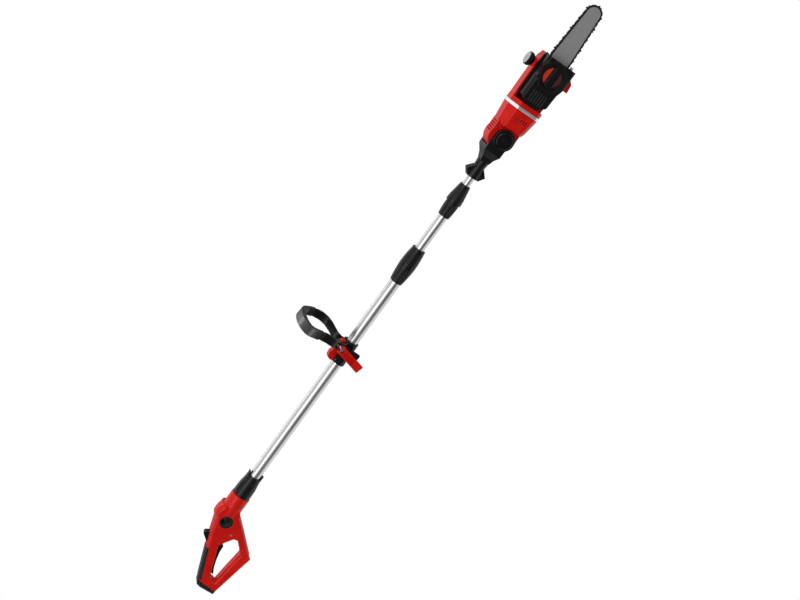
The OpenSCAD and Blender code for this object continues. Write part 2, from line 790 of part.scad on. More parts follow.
module saw_chain() {
    half_l = pitch / 2 + 2.8;
    color("#3a3a3a") {
        plate_xz(bar_y - tang_t / 2, bar_y + tang_t / 2) difference() {
            polygon(belt_pts(2.4));
            polygon(belt_pts(-7.6));
        }
        plate_xz(bar_y - strap_t / 2, bar_y + strap_t / 2) for (i = [0 : 2 : chain_rivets - 1]) link_frame(i)
            polygon([[-half_l, -1.6], [1.6 - half_l, -2.75], [half_l - 1.6, -2.75], [half_l, -1.6],
                [half_l, 1.4], [half_l - 1.6, 2.7], [1.6 - half_l, 2.7], [-half_l, 1.4]]);
        for (i = [0 : 4 : chain_rivets - 1]) {
            y0 = i % 8 == 0 ? bar_y - strap_t / 2 - 0.2 : bar_y - 0.6;
            plate_xz(y0, y0 + strap_t / 2 + 0.8) link_frame(i)
                polygon([[-6.6, 2.2], [-6.2, 4.6], [-1, 5], [-0.2, 2.6], [2.4, 2.6], [3.2, 4.3],
                    [5.4, 4.3], [6.4, 2.2]]);
        }
    }
}

function cover_outline(t) = [[1462 + t, 39 - t], [1583, 39 - t], [1583, t - 49], [1528, t - 49],
    [1508, t - 42], [1466 + t, t - 40], [1452 + t, -26], [1447 + t, -8], [1447 + t, 8], [1452 + t, 26]];

module chain_cover() {
    color("#161616") difference() {
        union() {
            intersection() {
                plate_xz(cover_y[0], cover_y[1]) polygon(cover_outline(0));
                slab_x(1400, 1600) polygon([[-18, -60], [-40, -60], [cover_y[0], -44], [cover_y[0], 31],
                    [-38, 39], [-30, 42], [-18, 42]]);
            }
            plate_xz(-49, -30) polygon([for (k = [0 : 7])
                [stud_x, knob_z] + 42 * [cos(45 * k + 22.5), sin(45 * k + 22.5)]]);
        }
        intersection() {
            plate_xz(cover_y[0] + 3, 0) polygon(cover_outline(2.4));
            slab_x(1400, 1600) polygon([[-17, -60], [-38, -60], [cover_y[0] + 3, -42],
                [cover_y[0] + 3, 29], [-37, 36.6], [-17, 36.6]]);
        }
        block([1570, -43, -36], [1600, -10, 36]);
        block([1565, -21, -46.4], [1600, -10, -30]);
        along_y([stud_x, 0], -60, 0, 4.5);
        for (z = [-22, -14, -6, 2, 10, 18]) block([1458, -50, z - 0.8], [1492, cover_y[0] + 1, z + 0.8]);
    }
    color("#161616") difference() {
        along_y([stud_x, 0], -43.5, bar_y - bar_t / 2 - 0.1, 12);
        along_y([stud_x, 0], -60, 0, 4.5);
    }
}

module bumper_spikes() {
    color("dimgray") plate_xz(-20.05, -18.05) polygon([[1566, -36.8], [1585, -36.8], [1592, -39.5],
        [1585, -41.5], [1591, -44], [1584, -46], [1566, -46]]);
}

module bar_stud() {
    color("silver") {
        along_y([stud_x, 0], -54, -13, 4);
        along_y([stud_x, 0], -13, -9, 6);
    }
}

module tension_ring() {
    color("#2a2a2a") difference() {
        along_y([stud_x, 0], -53, -49.4, 36);
        along_y([stud_x, 0], -60, -40, 30.6);
        for (k = [0 : 15]) along_y([stud_x + 36.6 * cos(22.5 * k), 36.6 * sin(22.5 * k)], -60, -40, 1.6);
    }
}

module cover_knob() {
    color("#141414") difference() {
        union() {
            along_y([stud_x, 0], -53.5, -49.4, 30);
            intersection() {
                block([stud_x - 29, -61, -6], [stud_x + 29, -50, 6]);
                along_y([stud_x, 0], -61, -50, 29);
            }
        }
        for (m = [0, 1]) mirror([0, 0, m]) difference() {
            along_y([stud_x, 0], -54, -51.2, 27);
            block([stud_x - 40, -60, -50], [stud_x + 40, -40, 7.5]);
        }
        along_y([stud_x, 0], -55, -40, 4 + fit);
    }
}

module oil_cap() {
    color("#1c1c1c") translate([oil_x, oil_y, 0]) rotate_extrude() polygon([[10.8, 53.6], [13, 53.6],
        [18, 60], [18.5, 70.5], [17, 73], [0, 73], [0, 66], [10.8, 66]]);
}

// ---------- drive ----------
module rotor() {
    color("peru") difference() {
        along_x(1383, 1412, 25);
        for (k = [0 : 8]) rotate([40 * k, 0, 0]) block([1380, -1.5, 16], [1414, 1.5, 30]);
    }
    color("silver") along_x(1370, drive_x - 15, 2.5);
}

module cooling_fan() {
    color("#333333") difference() {
        union() {
            along_x(1424, 1432, 6);
            along_x(1424, 1425.6, 24);
            for (k = [0 : 8]) rotate([40 * k, 0, 0]) block([1425, -0.8, 5], [1431, 0.8, 24]);
        }
        along_x(1420, 1440, 2.5);
    }
}

module bevel_pinion() {
    color("silver") difference() {
        turned([[2.5, drive_x - 31], [9.7, drive_x - 31], [10.1, drive_x - 26.6], [7.6, drive_x - 17],
            [2.5, drive_x - 17]]);
        for (k = [0 : 8]) rotate([40 * k, 0, 0]) translate([drive_x - 26.6, 0, 10.1]) rotate([0, 15, 0])
            block([-7, -1.1, -2], [14, 1.1, 3]);
    }
}

gear_teeth = 27;

module bevel_gear() {
    color("silver") difference() {
        translate([drive_x, 0, 0]) rotate([-90, 0, 0]) rotate_extrude()
            polygon([[5, 16], [25, 16], [25.4, 10.6], [18, 8.2], [14, 9], [5, 9]]);
        for (k = [0 : gear_teeth - 1]) translate([drive_x, 0, 0]) rotate([0, k * 360 / gear_teeth, 0])
            translate([17.5, 8.2, 0]) rotate([0, 0, 18]) block([-2, -3, -1], [12, 1.8, 1]);
    }
}

module drive_shaft() {
    color("silver") along_y([drive_x, 0], -27, 37.5, 5);
}

module drive_sprocket() {
    color("gray") difference() {
        union() {
            along_y([drive_x, 0], -24.6, -23, 13.8);
            along_y([drive_x, 0], -21, -19.4, 13.8);
            plate_xz(-23.5, -20.5) polygon([for (k = [0 : 13])
                [drive_x, 0] + (k % 2 == 0 ? 9.4 : 7.4) * [cos(180 * k / 7), sin(180 * k / 7)]]);
        }
        along_y([drive_x, 0], -40, 0, 5);
    }
}

handle_shell_right();
handle_shell_left();
handle_screws();
grip_pad();
butt_cap();
pole_collar();
strap_eyelet();
battery_rail();
battery_contacts();
switch_module();
control_board();
trigger_pin();
trigger_spring();
trigger();
lock_off_button();
lower_tube();
lower_lock_body();
lower_lock_collet();
lower_lock_nut();
clamp_upper();
clamp_lower();
clamp_block();
clamp_screws();
loop_handle();
loop_grip();
loop_bolt();
clamp_lever();
middle_tube();
middle_bush();
upper_lock_body();
upper_lock_collet();
upper_lock_nut();
upper_tube();
upper_bush();
head_fork();
pivot_pin();
pivot_button();
motor_housing_right();
motor_housing_left();
trim_band();
motor_can();
gear_housing();
bar_plate();
shaft_bearings();
housing_screws();
guide_bar();
saw_chain();
chain_cover();
bumper_spikes();
bar_stud();
cover_knob();
tension_ring();
oil_cap();
rotor();
cooling_fan();
bevel_pinion();
bevel_gear();
drive_shaft();
drive_sprocket();
nose_sprocket();
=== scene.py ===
"""Telescoping pole saw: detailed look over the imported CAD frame."""
import json
import math
from collections import namedtuple

import bmesh
import bpy
import numpy as np
from mathutils import Matrix, Vector


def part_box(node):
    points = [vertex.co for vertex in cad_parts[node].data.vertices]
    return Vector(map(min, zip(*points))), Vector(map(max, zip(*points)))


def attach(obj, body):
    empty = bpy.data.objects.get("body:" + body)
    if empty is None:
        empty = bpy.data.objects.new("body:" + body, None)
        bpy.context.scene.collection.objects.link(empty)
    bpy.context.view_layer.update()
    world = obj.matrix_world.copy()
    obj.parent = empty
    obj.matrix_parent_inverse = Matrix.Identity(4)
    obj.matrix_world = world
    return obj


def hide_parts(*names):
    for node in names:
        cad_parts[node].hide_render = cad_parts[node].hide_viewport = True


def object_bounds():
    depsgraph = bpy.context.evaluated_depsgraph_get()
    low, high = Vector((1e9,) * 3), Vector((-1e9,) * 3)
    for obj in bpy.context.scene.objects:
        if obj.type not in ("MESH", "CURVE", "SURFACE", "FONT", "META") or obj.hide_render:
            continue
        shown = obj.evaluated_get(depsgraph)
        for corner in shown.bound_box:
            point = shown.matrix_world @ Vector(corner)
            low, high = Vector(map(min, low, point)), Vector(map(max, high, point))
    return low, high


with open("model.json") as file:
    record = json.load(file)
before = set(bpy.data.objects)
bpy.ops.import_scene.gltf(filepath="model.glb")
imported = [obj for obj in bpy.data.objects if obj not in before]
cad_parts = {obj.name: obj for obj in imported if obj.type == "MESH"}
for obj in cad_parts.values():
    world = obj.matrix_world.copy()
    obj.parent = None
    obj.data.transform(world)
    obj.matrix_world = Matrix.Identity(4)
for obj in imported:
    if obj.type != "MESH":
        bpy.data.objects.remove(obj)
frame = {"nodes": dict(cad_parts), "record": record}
cad_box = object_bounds()
nodes = frame["nodes"]
scene = bpy.context.scene


# ---------------------------------------------------------------- materials
class Shader:
    """A node material with its Principled shader, and short ways to add nodes."""

    def __init__(self, name, color=(1, 1, 1), rough=0.5, metallic=0.0, coat=0.0, specular=0.5):
        self.mat = bpy.data.materials.new(name)
        self.mat.use_nodes = True
        self.tree = self.mat.node_tree
        self.bsdf = self.tree.nodes["Principled BSDF"]
        self.bsdf.inputs["Base Color"].default_value = (*color, 1)
        self.bsdf.inputs["Roughness"].default_value = rough
        self.bsdf.inputs["Metallic"].default_value = metallic
        self.bsdf.inputs["Coat Weight"].default_value = coat
        self.bsdf.inputs["Coat Roughness"].default_value = 0.12
        self.bsdf.inputs["Specular IOR Level"].default_value = specular
        self.color = color
        self.rough = rough
        coords = self.tree.nodes.new("ShaderNodeTexCoord")
        self.place = coords.outputs["Object"]

    def node(self, kind, **values):
        made = self.tree.nodes.new(kind)
        for key, value in values.items():
            if key in made.inputs:
                made.inputs[key].default_value = value
            else:
                setattr(made, key, value)
        return made

    def link(self, a, b):
        self.tree.links.new(a, b)

    def stretched(self, scale):
        mapping = self.node("ShaderNodeMapping")
        mapping.inputs["Scale"].default_value = scale
        self.link(self.place, mapping.inputs["Vector"])
        return mapping.outputs["Vector"]

    def noise(self, scale, detail=4.0, stretch=(1, 1, 1)):
        made = self.node("ShaderNodeTexNoise", Scale=scale, Detail=detail)
        self.link(self.stretched(stretch), made.inputs["Vector"])
        return made.outputs["Fac"]

    def ranged(self, value, low, high, start=0.35, end=0.65):
        made = self.node("ShaderNodeMapRange")
        self.link(value, made.inputs["Value"])
        for key, number in (("From Min", start), ("From Max", end), ("To Min", low), ("To Max", high)):
            made.inputs[key].default_value = number
        return made.outputs["Result"]

    def blend(self, value, first, second):
        made = self.node("ShaderNodeMix", data_type="RGBA")
        self.link(value, made.inputs["Factor"])
        made.inputs["A"].default_value = (*first, 1)
        made.inputs["B"].default_value = (*second, 1)
        return made.outputs["Result"]

    def vary(self, noise, amount=0.12, rough_by=0.06):
        """Colour a little darker and lighter, and roughness up and down, over the surface."""
        dark = [c * (1 - amount) for c in self.color]
        light = [min(1, c * (1 + amount)) for c in self.color]
        self.link(self.blend(self.ranged(noise, 0, 1), dark, light), self.bsdf.inputs["Base Color"])
        self.link(self.ranged(noise, self.rough - rough_by, self.rough + rough_by),
                  self.bsdf.inputs["Roughness"])

    def bump(self, height, strength, distance=0.0002):
        made = self.node("ShaderNodeBump")
        made.inputs["Strength"].default_value = strength
        made.inputs["Distance"].default_value = distance
        self.link(height, made.inputs["Height"])
        self.link(made.outputs["Normal"], self.bsdf.inputs["Normal"])


def moulded(name, color, rough, coat=0.0, grain=2600.0, depth=0.12, specular=0.5):
    s = Shader(name, color, rough, coat=coat, specular=specular)
    s.vary(s.noise(28.0), 0.1)
    if depth:
        s.bump(s.noise(grain, 2.0), depth)
    return s.mat


def machined(name, color, rough, stretch, scale=220.0, depth=0.15, metallic=1.0, amount=0.12):
    s = Shader(name, color, rough, metallic=metallic)
    lines = s.noise(scale, 5.0, stretch)
    s.vary(lines, amount, 0.05)
    s.bump(lines, depth, 0.00008)
    return s.mat


M = {
    "red": moulded("red_gloss", (0.64, 0.008, 0.004), 0.22, depth=0, specular=0.22),
    "insert": moulded("red_insert", (0.62, 0.03, 0.01), 0.4, depth=0.03),
    # Painted shade: a near black copy of the red inset, standing for the shade on the knob's lower inset.
    "painted_shade_insert": moulded("red_insert_painted_shade", (0.06, 0.006, 0.004), 0.5, depth=0.03),
    "black": moulded("black_satin", (0.005, 0.005, 0.0055), 0.24, depth=0, specular=0.28),
    "rubber": moulded("rubber_soft", (0.012, 0.012, 0.0125), 0.38, depth=0, specular=0.35),
    "sleeve": moulded("grip_sleeve", (0.02, 0.02, 0.021), 0.22, coat=0.2, grain=900.0, depth=0.05),
    "tube": machined("brushed_tube", (0.72, 0.72, 0.73), 0.24, (0.03, 1, 1), 400.0, depth=0.05,
                     amount=0.05),
    "trim": machined("trim_silver", (0.92, 0.92, 0.92), 0.4, (1, 0.05, 0.05)),
    "disc": machined("disc_aluminium", (0.45, 0.45, 0.46), 0.42, (1, 1, 0.05), metallic=0.6),
    "steel": machined("bright_steel", (0.62, 0.62, 0.64), 0.25, (1, 1, 1)),
    "gear": machined("gear_steel", (0.4, 0.4, 0.42), 0.35, (1, 1, 1)),
    "bar": machined("bar_steel", (0.34, 0.34, 0.345), 0.45, (0.05, 1, 1), 300.0, depth=0.04,
                    metallic=0.3, amount=0.04),
    "chain": machined("chain_steel", (0.07, 0.07, 0.075), 0.4, (1, 1, 1), 500.0),
    "copper": machined("winding_copper", (0.6, 0.26, 0.1), 0.35, (1, 1, 1), 500.0),
    "brass": machined("contact_brass", (0.8, 0.6, 0.22), 0.25, (1, 1, 1)),
    "board": moulded("board_green", (0.02, 0.16, 0.05), 0.4),
    "nylon": moulded("nylon_white", (0.62, 0.62, 0.6), 0.45),
}
FINISH = {"red_plastic": "red", "black_plastic": "black", "soft_rubber": "rubber", "grip_sleeve": "sleeve",
          "pole_aluminium": "tube", "trim_silver": "trim", "bright_steel": "steel", "gear_steel": "gear",
          "bar_steel": "bar", "chain_steel": "chain", "winding_copper": "copper",
          "contact_brass": "brass", "board_green": "board", "nylon_white": "nylon"}
for part in frame["record"]["subparts"]:
    own = nodes[part["node"]]
    own.data.materials.clear()
    own.data.materials.append(M[FINISH[part["material_slot"]]])


# ---------------------------------------------------------------- piece building
MM = 0.001
SHARP_DEG = 35
SHAPED_ROUNDS = 4
Box = namedtuple("Box", "low high middle")


def finished(obj, body, replaces, finish):
    """Gives a new piece its material, its place on a body and the CAD nodes it stands for."""
    obj.data.materials.clear()
    obj.data.materials.append(M[finish])
    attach(obj, body)
    if replaces:
        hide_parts(*replaces)


def new_object(name, data):
    obj = bpy.data.objects.new(name, data)
    scene.collection.objects.link(obj)
    return obj


def baked(obj):
    """Applies all the modifiers of obj."""
    graph = bpy.context.evaluated_depsgraph_get()
    mesh = bpy.data.meshes.new_from_object(obj.evaluated_get(graph))
    obj.modifiers.clear()
    obj.data = mesh


def eased(obj, rounds):
    """Adds a smoothing of so many rounds to obj."""
    ease = obj.modifiers.new("ease", "SMOOTH")
    ease.factor = 0.5
    ease.iterations = rounds


def softened(name, source, body, finish, voxel, rounds, keep, shape=None):
    """A moulded piece with rounded edges, made from the solid shape of a CAD node.

    It is remeshed with a grid of voxel metres, smoothed so many rounds and thinned to the share keep
    of its faces. shape, if given, moves the points in between."""
    obj = new_object(name, nodes[source].data.copy())
    obj.matrix_world = nodes[source].matrix_world.copy()
    grid = obj.modifiers.new("grid", "REMESH")
    grid.mode = "VOXEL"
    grid.voxel_size = voxel
    eased(obj, rounds)
    if shape:
        baked(obj)
        co = np.empty(len(obj.data.vertices) * 3)
        obj.data.vertices.foreach_get("co", co)
        obj.data.vertices.foreach_set("co", shape(co.reshape(-1, 3)).ravel())
        obj.data.update()
        eased(obj, SHAPED_ROUNDS)
    thin = obj.modifiers.new("thin", "DECIMATE")
    thin.ratio = keep
    baked(obj)
    obj.data.shade_smooth()
    finished(obj, body, [source], finish)


def sharp_object(name, bm):
    """An object of the faces in bm, smooth but for its edges over SHARP_DEG."""
    mesh = bpy.data.meshes.new(name)
    bm.to_mesh(mesh)
    bm.free()
    mesh.shade_smooth()
    bm = bmesh.new()
    bm.from_mesh(mesh)
    bmesh.ops.recalc_face_normals(bm, faces=bm.faces)
    for edge in bm.edges:
        if len(edge.link_faces) == 2 and edge.calc_face_angle(0) > math.radians(SHARP_DEG):
            edge.smooth = False
    bm.to_mesh(mesh)
    bm.free()
    return new_object(name, mesh)


def turned(name, outline, frame_at, relief=None, around=96):
    """A closed ring or solid of revolution: outline [(radius, height)] in mm round frame_at's Z."""
    bm = bmesh.new()
    rings = []
    for r, h in outline:
        if r == 0:
            rings.append([bm.verts.new(frame_at @ Vector((0, 0, h * MM)))])
            continue
        ring = []
        for k in range(around):
            a = 2 * math.pi * k / around
            out = (r - (relief(r, h, a) if relief else 0)) * MM
            ring.append(bm.verts.new(frame_at @ Vector((out * math.cos(a), out * math.sin(a), h * MM))))
        rings.append(ring)
    for first, second in zip(rings, rings[1:] + rings[:1]):
        if len(first) + len(second) == 2:
            continue
        for k in range(around):
            n = (k + 1) % around
            corners = [first[k % len(first)], first[n % len(first)],
                       second[n % len(second)], second[k % len(second)]]
            bm.faces.new(list(dict.fromkeys(corners)))
    return sharp_object(name, bm)


def axis_frame(direction, place):
    """A frame at place (mm) with its Z along direction."""
    turn_to = Vector(direction).to_track_quat("Z", "Y").to_matrix().to_4x4()
    return Matrix.Translation(Vector(place) * MM) @ turn_to


def box_mm(node):
    """The box of a CAD node in mm."""
    low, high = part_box(node)
    return Box(low / MM, high / MM, (low + high) / (2 * MM))


def joint(name):
    """A joint of the record."""
    return next(j for j in frame["record"]["behaviour"]["joints"] if j["name"] == name)


RIB_FADE = 3


def ribs(count, depth, low, high):
    """Narrow grooves along a turned piece, fading out towards two heights."""
    def relief(r, h, a):
        fade = min(1, max(0, h - low) / RIB_FADE, max(0, high - h) / RIB_FADE)
        return depth * fade * max(0, math.cos(count * a)) ** 3
    return relief


# ---------------------------------------------------------------- handle
# Outlines in X and Z (mm) of the edges that are rounded, and how far in each rounding reaches.
OUTLINE = [(42, 32), (28, 38.5), (16, 39.5), (8, 38), (-8, 30), (-52, 17), (-94, 1.5), (-204, -39.5),
           (-226, -55), (-230, -106), (-76.7, -136.6), (10, -52), (28, -32)]
OPENING = [(-191, -88), (-134, -94), (-78, -101), (-66, -93), (-38, -67), (-39, -55), (-62, -40),
           (-80, -30), (-184, -67)]
BACK = OUTLINE[:7]
EDGE_R = 5.0
BACK_R = 12.0
OPENING_R = 3.0
LOWER_ARM = OPENING[:3]
LOWER_ARM_R = 9.0
SIDE_HW = 17.0
ROUND_DEPTH = 0.8
NECK_X = 48
NECK_FADE = 16
SCREW_HEAD_R = 3.4
BOSS_R = 6
BOSS_FADE = 3
screws = box_mm("handle_screws")
TOP_SCREW = (screws.high.x - SCREW_HEAD_R, screws.high.z - SCREW_HEAD_R)


def distance_to(points, closed, at):
    """Distance in mm of each row of at to a line through the points."""
    best = np.full(len(at), 1e9)
    for i in range(len(points) if closed else len(points) - 1):
        a = np.array(points[i], float)
        b = np.array(points[(i + 1) % len(points)], float)
        along_it = np.clip(((at - a) @ (b - a)) / ((b - a) @ (b - a)), 0, 1)
        best = np.minimum(best, np.linalg.norm(at - a - along_it[:, None] * (b - a), axis=1))
    return best


def edge_round(distance, radius):
    """Share of the full half width left at a distance from an edge of a given radius."""
    t = np.clip(1 - distance / radius, 0, 1)
    return 1 - radius / SIDE_HW * ROUND_DEPTH * t * t


def rounded_handle(co):
    """Narrows the handle towards its edges, but not at its neck nor round the left side's top screw."""
    flat = co[:, [0, 2]] / MM
    share = np.ones(len(flat))
    for points, closed, radius in ((OUTLINE, False, EDGE_R), (BACK, False, BACK_R),
                                   (OPENING, True, OPENING_R), (LOWER_ARM, False, LOWER_ARM_R)):
        share = np.minimum(share, edge_round(distance_to(points, closed, flat), radius))
    fade = np.clip((NECK_X - flat[:, 0]) / NECK_FADE, 0, 1)
    to_screw = np.linalg.norm(flat - TOP_SCREW, axis=1)
    near_screw = np.clip((to_screw - BOSS_R) / BOSS_FADE, 0, 1)
    fade = np.where(co[:, 1] > 0, fade * near_screw, fade)
    co[:, 1] *= 1 - (1 - share) * fade
    return co


for side in ("right", "left"):
    softened(f"handle_{side}", f"handle_shell_{side}", "handle", "red", 0.0009, 8, 0.4,
             rounded_handle)
softened("grip_top", "grip_pad", "handle", "rubber", 0.0006, 4, 0.3, rounded_handle)
softened("butt_end", "butt_cap", "handle", "rubber", 0.0006, 3, 0.4, rounded_handle)
softened("collar", "pole_collar", "handle", "black", 0.0006, 4, 0.35)
softened("eye_ring", "strap_eyelet", "handle", "rubber", 0.0006, 4, 0.35)
softened("finger_trigger", "trigger", "trigger", "black", 0.0006, 6, 0.3)
softened("lock_off", "lock_off_button", "lock_off", "black", 0.0005, 4, 0.3)

# ---------------------------------------------------------------- pole locks
LOCK_AROUND = 224
STEP_ALONG = 3
BORE_SHARE = 0.4
# Each lock part's body, outline from its own low end, and ribs.
LOCKS = [
    ("lower_lock_body", "handle", [(16.06, 0), (17.6, 0), (18.2, 1.5), (19, 5), (20.6, 17), (21.9, 29),
     (23.2, 44), (23.6, 50), (23.2, 52.8), (17.5, 53), (17.5, 83), (16.06, 83)], ribs(16, 1.0, 3, 50)),
    ("lower_lock_nut", "lower_nut", [(17.9, 0), (23.4, 0), (23.9, 1), (23.4, 18.6), (22.4, 31.6),
     (20.6, 46.6), (19.6, 53.6), (19.4, 57.9), (18.8, 58.6), (14, 58.6), (14, 51.6), (17.9, 33.6)],
     ribs(12, 0.7, 5.6, 51.6)),
    ("upper_lock_body", "middle", [(13.56, 0), (16.4, 0), (17, 1.4), (18.4, 14), (19.3, 28), (19.7, 40),
     (19.3, 44.8), (15.6, 45), (15.6, 72), (13.56, 72)], ribs(16, 1.0, 3, 41)),
    ("upper_lock_nut", "upper_nut", [(16, 0), (22.2, 0), (22.6, 1), (22, 14.6), (18.4, 36.6), (15.6, 54.6),
     (15, 57.2), (14.4, 57.6), (11.6, 57.6), (11.6, 50.6), (16, 30.6)], ribs(12, 0.7, 6.6, 50.6)),
]


def stepped(outline):
    """The outline with more points along its length, so that the ribs can fade out."""
    points = []
    for a, b in zip(outline, outline[1:] + outline[:1]):
        steps = max(1, int(abs(b[1] - a[1]) / STEP_ALONG))
        points += [(a[0] + (b[0] - a[0]) * k / steps, a[1] + (b[1] - a[1]) * k / steps)
                   for k in range(steps)]
    return points


def outside_of(outline, relief):
    """The relief on the outside only, not in the bore."""
    radii = [r for r, h in outline]
    limit = min(radii) + BORE_SHARE * (max(radii) - min(radii))
    return lambda r, h, a: relief(r, h, a) if r > limit else 0


for node, body, outline, relief in LOCKS:
    start = axis_frame((1, 0, 0), (box_mm(node).low.x, 0, 0))
    made = turned(node + "_look", stepped(outline), start, outside_of(outline, relief), LOCK_AROUND)
    finished(made, body, [node], "black")

# ---------------------------------------------------------------- sliding grip
softened("loop_strap", "loop_handle", "loop", "black", 0.0008, 10, 0.3)
softened("loop_sleeve", "loop_grip", "loop", "sleeve", 0.0007, 10, 0.3)
softened("ring_top", "clamp_upper", "grip_clamp", "black", 0.0006, 4, 0.35)
softened("ring_bottom", "clamp_lower", "grip_clamp", "black", 0.0006, 4, 0.35)
softened("ring_block", "clamp_block", "grip_clamp", "red", 0.0006, 5, 0.35)
softened("cam_lever", "clamp_lever", "clamp_lever", "red", 0.0004, 3, 0.35)

# ---------------------------------------------------------------- head joint
softened("fork", "head_fork", "upper", "black", 0.0007, 7, 0.3)
BUTTON = [(0, -9.2), (4, -9.2), (4.6, -8.6), (6, -8.6), (6.6, -9.4), (9.4, -9.4), (10.2, -8.4), (12, -8.4),
          (12.8, -9.8), (15, -9.8), (15.8, -8.8), (18, -8.8), (18.8, -10.6), (21.6, -10.8), (23.2, -9.6),
          (23.6, -7.6), (23.6, 0), (0, 0)]
button = box_mm("pivot_button")
BUTTON_SHORT = 0.1
button_frame = axis_frame((0, 1, 0), (button.middle.x, button.high.y - BUTTON_SHORT, button.middle.z))
finished(turned("button_rings", BUTTON, button_frame), "pivot_button", ["pivot_button"],
         "black")

# ---------------------------------------------------------------- saw head
for side in ("right", "left"):
    softened(f"motor_{side}", f"motor_housing_{side}", "head", "red", 0.0007, 5, 0.3)
softened("gear_case", "gear_housing", "head", "red", 0.0008, 5, 0.3)
softened("cover", "chain_cover", "head", "black", 0.0006, 4, 0.3)
softened("ring", "tension_ring", "tension_ring", "black", 0.0006, 3, 0.4)
softened("knob", "cover_knob", "cover_knob", "black", 0.0005, 4, 0.35)

knob = box_mm("cover_knob")
INSERT_R = 25.6
INSERT_ARC = [math.radians(19 + 7.1 * k) for k in range(21)]
INSERT_BACK, INSERT_FRONT = 1.9, 3.2
BLADE_HW = 8.5
BLADE_GAP = 0.9
NARROW_X, NARROW_Z = 0.96, 0.94


def walls(bm, first, second):
    """Faces from ring to ring, and one over each ring."""
    bm.faces.new(first)
    bm.faces.new(second)
    for k in range(len(first)):
        n = (k + 1) % len(first)
        bm.faces.new((first[k], first[n], second[n], second[k]))


def knob_insert(name, sign, finish):
    """The inset on one side of the knob's blade, a little narrower at its front."""
    bm = bmesh.new()
    arc = [(INSERT_R * math.cos(a), INSERT_R * math.sin(a)) for a in INSERT_ARC]
    corners = [(x, z) for x, z in arc if z > BLADE_HW]
    backs = [(knob.middle.x + x, knob.high.y - INSERT_BACK, sign * z) for x, z in corners]
    fronts = [(knob.middle.x + x * NARROW_X, knob.high.y - INSERT_FRONT,
               sign * (BLADE_HW + BLADE_GAP + (z - BLADE_HW) * NARROW_Z)) for x, z in corners]
    walls(bm, *[[bm.verts.new(Vector(point) * MM) for point in ring] for ring in (backs, fronts)])
    finished(sharp_object(name, bm), "cover_knob", [], finish)


knob_insert("knob_insert_upper", 1, "insert")
# The lower inset gets the near black copy of the red inset: painted shade, not a darker part.
knob_insert("knob_insert_lower", -1, "painted_shade_insert")

cap = box_mm("oil_cap")
cap_frame = axis_frame((0, 0, 1), (cap.middle.x, cap.middle.y, cap.low.z))
CAP_RIBS = 36
CAP_RIB_DEPTH = 1.0
CAP_RIM_R, CAP_RIM_LOW, CAP_RIM_HIGH = 17, 6.4, 16.4
CAP_AROUND = 216
CAP = [(10.8, 0), (13, 0), (14.4, 1.2), (17.2, 5.8), (18.2, 7.4), (18.5, 10.4), (18.5, 16), (18, 17),
       (16.6, 17.4), (0, 17.4), (0, 12.4), (10.8, 12.4)]
DISC = [(0, 17.45), (15.6, 17.45), (16.2, 17.8), (16.2, 18.4), (15.6, 19), (13.6, 19.3), (13, 18.8),
        (0, 18.8)]


def cap_relief(r, h, a):
    """Ribs round the cap's rim."""
    on_rim = r > CAP_RIM_R and CAP_RIM_LOW < h < CAP_RIM_HIGH
    return CAP_RIB_DEPTH / 2 * (1 - math.cos(CAP_RIBS * a)) if on_rim else 0


finished(turned("cap_body", CAP, cap_frame, cap_relief, CAP_AROUND), "oil_cap", ["oil_cap"],
         "black")
finished(turned("cap_disc", DISC, cap_frame), "oil_cap", [], "disc")

# ---------------------------------------------------------------- chain
# The rivets run round three circles (X and radius in mm): sprocket, the bar's widest place, nose.
DRIVE_X = joint("drive_spin")["pos_m"][0] / MM
NOSE_X = joint("nose_spin")["pos_m"][0] / MM
WIDEST_X = DRIVE_X + 116
WHEELS = [(DRIVE_X, 17.5), (WIDEST_X, 30.2), (NOSE_X, 22.4)]
RIVETS = 80
CUTTER_EVERY = 4
CHAIN_Y = box_mm("saw_chain").middle.y
STRAP_R, STRAP_FLAT = 2.6, 3.1
STRAP_T = 1.55
STRAP_LOWS = (-2.3, 0.75)
LINK_R, LINK_HW = 2.2, 0.65
PIN_R, PIN_HW = 1.3, 2.65
TOOTH = [(-6.2, 2.2), (-6, 4.4), (-1.2, 4.9), (-0.6, 2.3)]
GAUGE = [(2.4, 2.2), (3.2, 4.1), (5.2, 4.1), (6.2, 2)]
ROOF = [(-6, 4), (-6, 4.5), (-1.2, 5), (-1.2, 4.4)]
TOOTH_T = 1.6
ROOF_T = 3.1
# Where a cutter's tooth and roof begin in Y, from the chain's middle: on the right, on the left.
TOOTH_LOWS = (-2.5, 0.9)
ROOF_LOWS = (-2.5, -0.6)
ARC_STEPS, WIDEST_STEPS = 60, 8
PIN_SIDES = 12


def on_wheel(i, a):
    x, r = WHEELS[i]
    return np.array([x + r * math.cos(a), r * math.sin(a)])


def lean_of(i, j):
    """The angle at which a straight run leaves circle i for circle j."""
    return math.acos((WHEELS[i][1] - WHEELS[j][1]) / (WHEELS[j][0] - WHEELS[i][0]))


def half_route():
    """Finely spaced points of the rivet line's upper half, from the rear round to the nose."""
    first, second = lean_of(0, 1), lean_of(1, 2)
    points = [on_wheel(0, math.pi - k * (math.pi - first) / ARC_STEPS) for k in range(ARC_STEPS + 1)]
    points += [on_wheel(1, first + k * (second - first) / WIDEST_STEPS) for k in range(WIDEST_STEPS + 1)]
    points += [on_wheel(2, second * (1 - k / ARC_STEPS)) for k in range(ARC_STEPS + 1)]
    return np.array(points)


top = half_route()
route = np.vstack([top, (top * (1, -1))[::-1][1:]])
travelled = np.concatenate([[0], np.cumsum(np.linalg.norm(np.diff(route, axis=0), axis=1))])


def rivet_at(i):
    """The place of rivet i in X and Z, evenly spaced along the route."""
    s = travelled[-1] * (i % RIVETS) / RIVETS
    return np.array([np.interp(s, travelled, route[:, 0]), np.interp(s, travelled, route[:, 1])])


